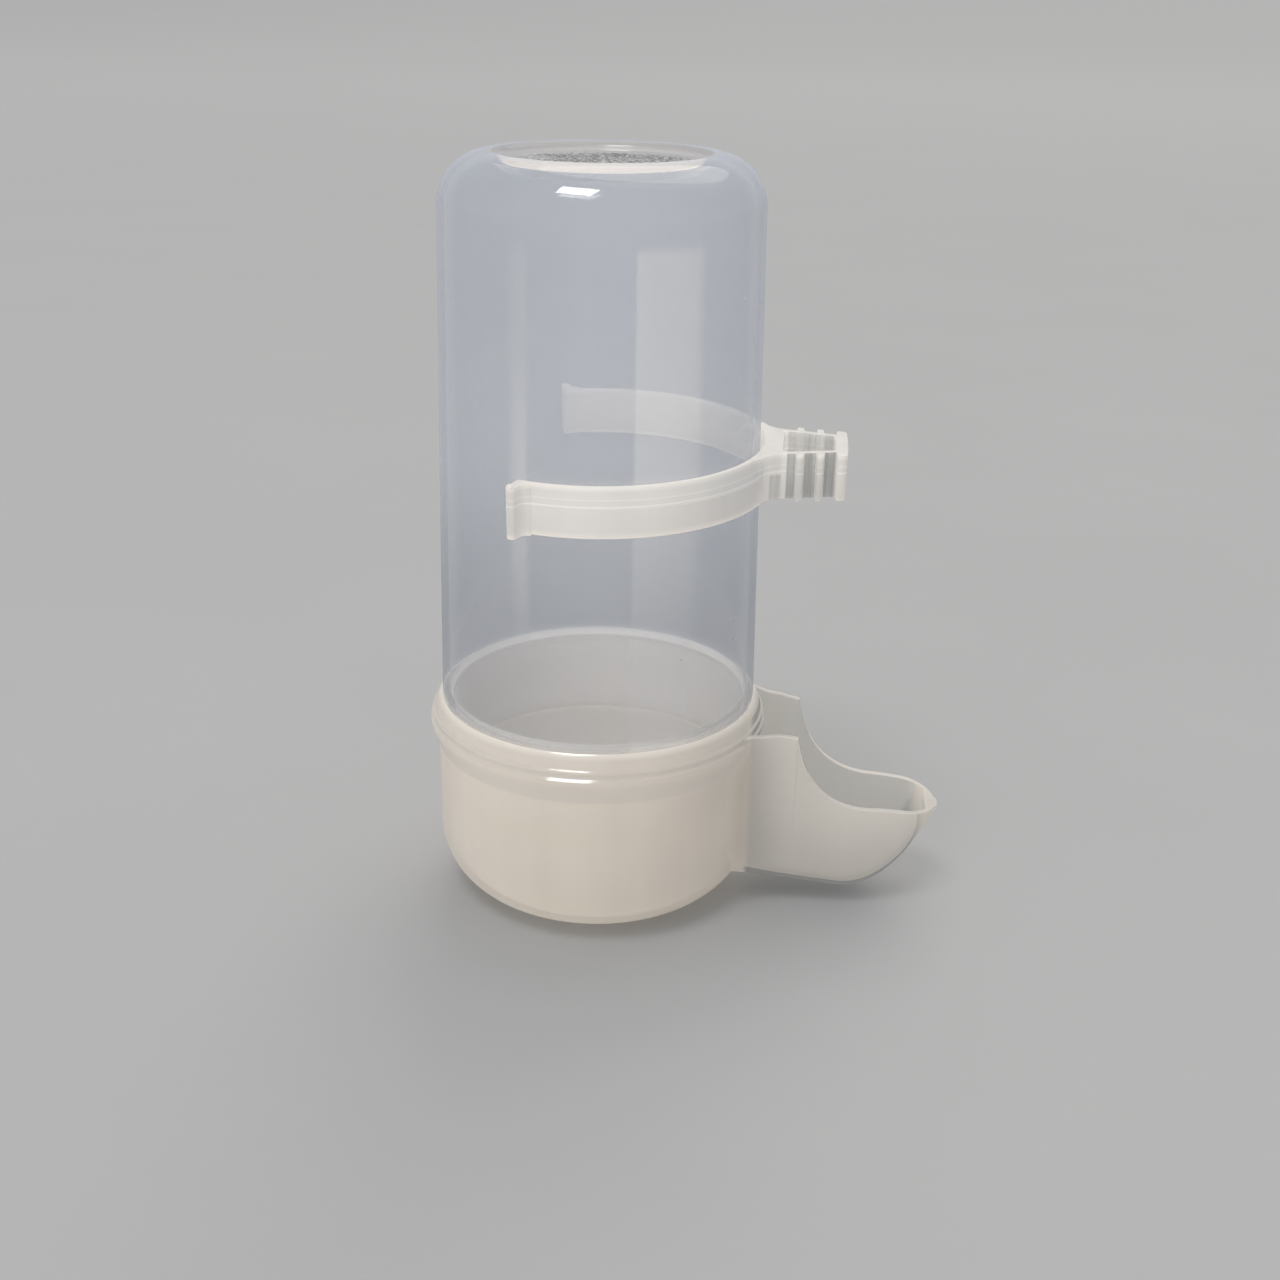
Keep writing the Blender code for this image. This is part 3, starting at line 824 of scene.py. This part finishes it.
def wall(name, *, reflected, passed, haze, clear_tint, gloss_rough, streaks, dust, grazing, shade,
         mirror_edge, back_share, bump, bands=0.0, edges=None, region=None, polished=None,
         clear_below=None, slant=0.0, inside=None):
    """Natural polypropylene wall: a clear part, a milky part that scatters light
    both ways, and the mirror of its moulded skin on top.

    reflected, passed  colour of the milky part in light it reflects and light it passes
    haze, back_share   share that is milky, and how much of that passes light on
    clear_tint         tint of the clear part
    streaks, dust      drift of the haze along the plastic's flow, share of specked cells
    grazing, slant     haze added where seen edge on, paleness where seen at a slant
    shade              how much of a lamp's light comes straight through one skin
    gloss_rough, mirror_edge, bump  roughness, edge-on strength and waviness of the mirror
    bands              strength of the painted light strips down the bottle
    edges, region, inside  settings for the painted edge glow and ridge highlights, the region's
    function, colour of the painted light on the faces towards the bottle polished, clear_below
    heights above which it is glossier, below which it is clear
    """
    tree = Tree(name)
    facing = tree.facing()
    cloud = tree.noise(tree.point, scale=45.0, detail=1.0)
    flow = tree.noise(tree.stretched((120.0, 120.0, 6.0)), scale=1.0, detail=2.0, rough=0.62)
    tone = tree.remap(cloud * 0.5 + flow * 0.5, 0.34, 0.66, 0.94, 1.05)
    cool = tree.field("ShaderNodeVectorMath", {0: reflected, "Scale": tone}, operation="SCALE")
    cool, marks = add_dust(tree, cool, dust)
    if slant:
        cool = tree.mix_colour(tree.rise(facing, 0.15, 0.65, top=slant), cool, (1.0, 0.97, 0.94))

    amount = haze + tree.remap(flow, 0.3, 0.7, -streaks, streaks)
    # painted light: pale strips down the bottle
    if bands:
        cool = tree.mix_colour(painted_light_bands(tree) * bands, cool, (1.0, 0.99, 0.99))
    edge = tree.rise(facing, 0.60, 0.97, top=grazing)
    amount = tree.math("MAXIMUM", amount + edge, marks * 0.9, clamp=True)
    if clear_below is not None:
        z = tree.split(tree.point)[2]
        amount = amount * tree.remap(z, clear_below - 0.0006, clear_below, 0.25, 1.0)
    warm = passed
    # painted glow on the edges, painted highlights and shade at the ridge
    if edges:
        cool, amount = paint_edge_glow(tree, cool, amount, **edges)
    # painted light on the faces towards the bottle
    if inside:
        cool, warm = paint_inner_face_light(tree, cool, warm, inside)
    if region:
        cool, warm, amount, clear_tint = add_region(tree, cool, warm, amount, clear_tint,
                                                    **region(tree))

    waves = tree.bump(tree.noise(tree.point, scale=130.0, detail=1.0), strength=0.3, distance=bump)
    front = tree.bsdf("Diffuse", Color=cool)
    back = tree.bsdf("Translucent", Color=warm)
    clear = tree.bsdf("Transparent", Color=clear_tint)
    body = tree.mix(amount, clear, tree.mix(back_share, front, back))

    rough = tree.remap(cloud, 0.3, 0.7, gloss_rough * 0.85, gloss_rough * 1.15)
    if polished is not None:
        z = tree.split(tree.point)[2]
        rough = rough * tree.remap(z, polished - 0.001, polished + 0.001, 1.0, 0.42, smooth=True)
    mirror = tree.bsdf("Glossy", Color=WHITE, Roughness=rough, Normal=waves)
    surface = tree.add_mirror(body, mirror, facing, edge=mirror_edge, base=0.042)
    return tree.out(tree.pass_lamps(surface, (shade, shade, shade * 0.99)))


def inner_skin(name, *, tint, haze, colour, rough, shade, edge_haze, bands=0.0,
               far_side=None, milky_below=None):
    """The inside face of a clear wall.

    far_side is the share of the haze kept on the +Y half, away from the window, which paints
    more light on the window side; below milky_below the neck is milkier, with a painted
    highlight just above that height.
    """
    tree = Tree(name)
    facing = tree.facing()
    clear = tree.bsdf("Transparent", Color=tint)
    milky = tree.bsdf("Translucent", Color=colour)
    amount = haze + tree.remap(facing, 0.62, 0.97, 0.0, edge_haze)
    # painted light: the same strips add haze to the inside face
    if bands:
        amount = amount + painted_light_bands(tree) * bands
    # painted light: less haze on the +Y half, away from the window
    if far_side is not None:
        y = tree.split(tree.point)[1]
        amount = amount * tree.remap(y, -0.006, 0.004, 1.0, far_side, smooth=True)
    body = tree.mix(amount, clear, milky)
    if milky_below is not None:
        z = tree.split(tree.point)[2]
        neck = tree.bsdf("Diffuse", Color=(0.98, 0.935, 0.88))
        # painted highlight: a pale line just above the rim's height
        line = tree.fall(abs(z - (milky_below + 0.0004)), 0.0004, 0.0010, top=0.62)
        low = tree.remap(z, milky_below - 0.0008, milky_below, 0.33, 0.0)
        body = tree.mix(tree.maximum(low, line), body, neck)
    mirror = tree.bsdf("Glossy", Color=WHITE, Roughness=rough)
    surface = tree.add_mirror(body, mirror, facing, edge=0.3, base=0.03)
    return tree.out(tree.pass_lamps(surface, (shade, shade, shade)))


def ground_surface(name):
    """The rough disc sunk in the bottle's end, mottled with painted glints where the light catches
    its grain.
    """
    tree = Tree(name)
    grain = tree.noise(tree.point, scale=1300.0, detail=2.0, rough=0.65)
    patch = tree.noise(tree.point, scale=160.0, detail=1.0)
    mottle = tree.rise(grain * 0.75 + patch * 0.25, 0.40, 0.60)
    # painted glints: the pale half of the mottle
    colour = tree.mix_colour(mottle, (0.13, 0.13, 0.127), (0.62, 0.615, 0.60))
    bump = tree.bump(grain, strength=0.9, distance=0.0003)
    milky = tree.mix(0.5, tree.bsdf("Diffuse", Color=colour, Normal=bump),
                     tree.bsdf("Translucent", Color=colour))
    clear = tree.bsdf("Transparent", Color=(0.88, 0.89, 0.90))
    body = tree.mix(0.62, clear, milky)
    mirror = tree.bsdf("Glossy", Roughness=0.22, Normal=bump)
    return tree.out(tree.mix(0.10, body, mirror))


def floor_material():
    tree = Tree("studio_floor")
    patches = tree.noise(tree.point, scale=9.0, detail=4.0)
    colour = tree.mix_colour(tree.remap(patches, 0.3, 0.7, 0.0, 1.0),
                             (0.300, 0.303, 0.308), (0.310, 0.313, 0.318))
    # the lamps fall off with distance, so the far floor is a little paler
    away = tree.field("ShaderNodeVectorMath", {0: tree.point}, output="Value", operation="LENGTH")
    colour = tree.mix_colour(tree.rise(away, 0.25, 2.6), colour, (0.372, 0.375, 0.380))
    return tree.out(tree.field("ShaderNodeBsdfPrincipled",
                               {"Base Color": colour, "Roughness": 0.75}))


# ---- regions: masks and colours for add_region -----------------------------
def low_on_bottle(tree):
    """The lower half of the bottle is greyer than the top; the neck in the cup is clear."""
    z = tree.split(tree.point)[2]
    low = tree.fall(z, 0.050, 0.080) * tree.remap(z, 0.0362, 0.0375, 0.0, 1.0)
    return dict(mask=low, grey=(0.36, 0.39, 0.44), thinner=0.02, clear_grey=(0.86, 0.87, 0.89))


def on_trough(tree):
    """Where the base is greyer: the trough's single walls beyond the cup, with painted shade
    in its hollow and a painted highlight on their top edges, which stay pale; painted shade
    on the floor of the cup, in the rim's groove and on the rim's underside."""
    x, y, z = tree.split(tree.point)
    up = tree.normal()[2]
    # the trough's hollow, with its flare at the cup as a parabola
    flare = tree.maximum(TROUGH_W_X * MM - x, 0.0)
    taper = tree.maximum(x - TROUGH_W_X * MM, 0.0) * TROUGH_TAPER
    half_width = tree.math("MULTIPLY_ADD", flare * flare, 33.1, 0.0082) - taper
    hollow = (abs(y) < half_width) * tree.fall(x, 0.0540, 0.0572)
    # painted highlight: the top faces of the trough's edges are kept pale
    edge = (up > 0.45) * (z > 0.0165)
    beyond = tree.maximum(tree.rise(x, 0.0255, 0.0360), hollow * tree.rise(x, 0.0262, 0.0272))
    beyond = beyond * (1.0 - edge * 0.9)

    radius = tree.math("SQRT", x * x + y * y)
    # painted shade on the floor of the cup, in the rim's groove and on the rim's underside
    bottom = (up > 0.1) * (radius < 0.0262) * tree.remap(z, 0.012, 0.016, 0.90, 0.0)
    groove = tree.fall(abs(z - 0.03256), 0.00030, 0.00052, top=0.42) * (radius > 0.0281)
    under_rim_shade = tree.rise(up, -0.10, -0.40, top=0.45) * (z > 0.0262)

    # painted light on the cup's inside wall behind the bottle's neck, painted shade below its
    # mouth, but only where it is seen from the hollow, not through the wall itself
    bore = (abs(up) < 0.3) * (radius < 0.0265)
    bore = bore * (1.0 - tree.field("ShaderNodeNewGeometry", output="Backfacing"))
    pale = bore * tree.rise(z, 0.0185, 0.0240, top=0.75) * tree.remap(z, 0.0330, 0.0342, 1.0, 0.0)
    low_bore_shade = bore * tree.fall(z, 0.0175, 0.0225, top=0.75)

    mask = tree.maximum(tree.maximum(beyond, bottom), tree.maximum(groove, under_rim_shade))
    mask = tree.maximum(mask, low_bore_shade)
    # cup_grey colours the painted shade in the groove and on the rim's underside
    cup_grey, trough_colour = (0.56, 0.575, 0.58), (0.83, 0.78, 0.72)
    hollow_shade_grey, floor_shade_grey = (0.44, 0.455, 0.46), (0.68, 0.665, 0.635)
    grey = tree.mix_colour(tree.rise(x, 0.0255, 0.0300), cup_grey, trough_colour)
    grey = tree.mix_colour(hollow * tree.rise(x, 0.0262, 0.0272), grey, hollow_shade_grey)
    grey = tree.mix_colour(tree.maximum(bottom, low_bore_shade) > 0.01, grey, floor_shade_grey)
    return dict(mask=mask, grey=grey, thinner=0.06, clear_grey=(0.88, 0.88, 0.87),
                pale_mask=pale, pale=(1.0, 0.955, 0.91))


def on_tail(tree):
    """The thin webs between the tail's ribs, the slot between them and the tail's root: the webs
    are greyer because they are thin, with painted shade in the grooves between the ribs.
    """
    x, y, z = tree.split(tree.point)
    normal = tree.normal()
    wide = abs(y)
    side = abs(normal[1]) > 0.6
    taper = tree.maximum(x - VALLEY_X * MM, 0.0) * VALLEY_SLOPE
    web = (wide < 0.0069 - taper) * tree.rise(x, 0.0302, 0.0306)
    slot = wide < 0.0059 - taper
    root = (tree.rise(x, 0.0276, 0.0280) * tree.fall(x, 0.0294, 0.0297)
            * (tree.fall(z, 0.0768, 0.0772, top=0.65) * (wide < 0.012)))
    streak = tree.noise(tree.stretched((1400.0, 300.0, 40.0)), scale=1.0, detail=1.0)
    # painted shade in the grooves, together with the real greyness of the thin webs
    depth = tree.maximum(web, root) * tree.remap(streak, 0.35, 0.65, 0.55, 1.0)
    depth = depth * (1.0 - slot * 0.50)
    return dict(mask=depth * side, grey=(0.34, 0.355, 0.355), thinner=0.22,
                clear_grey=(0.72, 0.735, 0.74))


# ============================================================================
# build
# bands=0.95 paints pale strips of light down the bottle
bottle_mat = wall(
    "bottle_pp_visual", reflected=(0.42, 0.47, 0.56), passed=(0.77, 0.775, 0.79), haze=0.26,
    clear_tint=(0.908, 0.924, 0.948), gloss_rough=0.06, streaks=0.015, dust=0.05, grazing=0.30,
    shade=0.92, mirror_edge=0.40, back_share=0.45, bump=0.00001, bands=0.95,
    region=low_on_bottle, clear_below=0.0363)
# milky_below adds a painted highlight just above the rim's height; bands paints the light strips
# here too
bottle_inner = inner_skin(
    "bottle_pp_inside", tint=(0.98, 0.984, 0.99), haze=0.04, colour=(0.82, 0.83, 0.85),
    rough=0.08, shade=0.98, edge_haze=0.34, bands=0.12, milky_below=RIM_TOP * MM)
# thick edges at the end and the mouth: milkier where the plastic is thick, with a painted warm
# reflection, brighter on the window side
thick_edge_glow = inner_skin(
    "bottle_pp_thick_edge", tint=(0.84, 0.84, 0.84), haze=0.68, colour=(1.0, 0.91, 0.815),
    rough=0.2, shade=0.8, edge_haze=0.12, far_side=0.40)
ground_disc = ground_surface("bottle_pp_ground_disc")
# the base gets the painted edge glow only at its rim: its bottom and ridge heights lie far out of
# reach
base_mat = wall(
    "base_pp_visual", reflected=(0.54, 0.535, 0.53), passed=(0.95, 0.885, 0.805), haze=0.70,
    clear_tint=(0.93, 0.925, 0.91), gloss_rough=0.19, streaks=0.02, dust=0.02, grazing=0.15,
    shade=0.58, mirror_edge=0.35, back_share=0.58, bump=0.00005,
    edges=dict(up=(0.0, 0.0, 1.0), bottom=-1.0, top=0.0357, reach=0.0010, ridge=-1.0),
    region=on_trough, polished=0.030, slant=0.42)
roll_angle = math.radians(CLIP_ROLL)
clip_mat = wall(
    "clip_pp_visual", reflected=(0.64, 0.66, 0.69), passed=(0.96, 0.925, 0.875), haze=0.68,
    clear_tint=(0.94, 0.94, 0.935), gloss_rough=0.17, streaks=0.03, dust=0.02, grazing=0.15,
    shade=0.60, mirror_edge=0.35, back_share=0.60, bump=0.00005,
    # edges= paints glow on the band's edges and highlights and shade at its ridge
    edges=dict(up=(0.0, -math.sin(roll_angle), math.cos(roll_angle)), bottom=CLIP_Z0 * MM,
               top=CLIP_Z1 * MM, reach=0.0010, ridge=CLIP_RIDGE_Z * MM),
    # inside= is painted light on the clip's faces towards the bottle
    region=on_tail, slant=0.20, inside=(1.0, 0.955, 0.90))

finish_piece(make_base(), "base", "trough_base", base_mat)
bottle, inner_from, inner_to = make_bottle()
finish_piece(bottle, "bottle", "bottle", bottle_mat)
finish_piece(make_clip(), "clip", "cage_clip", clip_mat)

# the bottle's other materials: inside faces, thick edges at end and mouth with a painted warm
# glow, sunk disc
INNER, THICK, DISC = 1, 2, 3
for extra in (bottle_inner, thick_edge_glow, ground_disc):
    bottle.data.materials.append(extra)
for poly in bottle.data.polygons[inner_from:inner_to]:
    poly.material_index = INNER
for poly in bottle.data.polygons[:inner_from]:
    radius, z = math.hypot(poly.center.x, poly.center.y) / MM, poly.center.z / MM
    if z > 122.6 and radius < 15.0:
        poly.material_index = DISC
    elif (z > 122.6 and radius < 16.9) or z < MOUTH_Z + 0.6:
        poly.material_index = THICK

# ============================================================================
# studio
FLOOR_RADII = (0.2, 0.6, 1.5, 4.0, 10.0, 30.0)
floor = make_object("studio_floor", *turned([(0.0, 0.0)] + [(r, 0.0) for r in FLOOR_RADII], 96))
floor.data.flip_normals()
floor.data.materials.append(floor_material())
floor.location.z = -0.00005


def make_world():
    """A plain bright room, a little darker where the camera sees it directly."""
    world = bpy.data.worlds.new("studio_world")
    bpy.context.scene.world = world
    world.use_nodes = True
    nodes, links = world.node_tree.nodes, world.node_tree.links
    nodes.clear()
    room, seen = [nodes.new("ShaderNodeBackground") for _ in range(2)]
    room.inputs["Color"].default_value = (0.96, 0.975, 1.0, 1.0)
    room.inputs["Strength"].default_value = 0.62
    seen.inputs["Color"].default_value = (0.98, 0.985, 1.0, 1.0)
    seen.inputs["Strength"].default_value = 0.50
    path = nodes.new("ShaderNodeLightPath")
    pick = nodes.new("ShaderNodeMixShader")
    links.new(path.outputs["Is Camera Ray"], pick.inputs[0])
    links.new(room.outputs[0], pick.inputs[1])
    links.new(seen.outputs[0], pick.inputs[2])
    links.new(pick.outputs[0], nodes.new("ShaderNodeOutputWorld").inputs["Surface"])


LIGHT_TARGET = Vector((0.0, 0.0, 0.06))


def direction(azimuth, elevation):
    """Unit vector towards a light; degrees from +X and above the floor."""
    a, e = math.radians(azimuth), math.radians(elevation)
    return Vector((math.cos(e) * math.cos(a), math.cos(e) * math.sin(a), math.sin(e)))


def area_light(name, *, azimuth, elevation, distance, width, height, power, colour, glossy):
    data = bpy.data.lights.new(name, "AREA")
    data.shape = "RECTANGLE"
    data.size, data.size_y = width, height
    data.energy, data.color = power, colour
    ob = link_object(name, data)
    ob.location = LIGHT_TARGET + distance * direction(azimuth, elevation)
    ob.rotation_euler = (LIGHT_TARGET - ob.location).to_track_quat("-Z", "Y").to_euler()
    ob.visible_camera = False
    ob.visible_glossy = glossy


def sun(name, *, azimuth, elevation, energy, angle, colour, glossy):
    data = bpy.data.lights.new(name, "SUN")
    data.energy, data.angle, data.color = energy, math.radians(angle), colour
    ob = link_object(name, data)
    ob.rotation_euler = (-direction(azimuth, elevation)).to_track_quat("-Z", "Y").to_euler()
    ob.visible_glossy = glossy


def make_camera():
    turn = Matrix.Rotation(0.119, 3, "Z")
    eye = turn @ Vector((0.0, -0.25994, 0.14971))
    ahead = turn @ Vector((0.02509, 0.92667, -0.37505))
    right = turn @ Vector((0.99966, -0.02042, 0.01644))
    up = turn @ Vector((-0.00758, 0.37533, 0.92686))
    data = bpy.data.cameras.new("camera")
    data.sensor_width, data.lens = 36.0, 46.265625
    data.clip_start, data.clip_end = 0.005, 100.0
    camera = link_object("camera", data)
    camera.matrix_world = Matrix((
        (right.x, up.x, -ahead.x, eye.x),
        (right.y, up.y, -ahead.y, eye.y),
        (right.z, up.z, -ahead.z, eye.z),
        (0.0, 0.0, 0.0, 1.0)))
    bpy.context.scene.camera = camera


make_world()
area_light("window", azimuth=-112.0, elevation=64.0, distance=3.0, width=1.05, height=0.75,
           power=36.0, colour=(1.0, 0.99, 0.97), glossy=True)
area_light("front_soft", azimuth=-118.0, elevation=18.0, distance=2.6, width=2.4, height=1.4,
           power=19.0, colour=(0.97, 0.985, 1.0), glossy=False)
sun("ceiling", azimuth=72.0, elevation=58.0, energy=0.95, angle=55.0,
    colour=(1.0, 0.95, 0.885), glossy=True)
sun("back_glow", azimuth=80.0, elevation=24.0, energy=1.35, angle=45.0,
    colour=(1.0, 0.93, 0.85), glossy=False)
make_camera()
bpy.context.scene.view_settings.view_transform = "Standard"
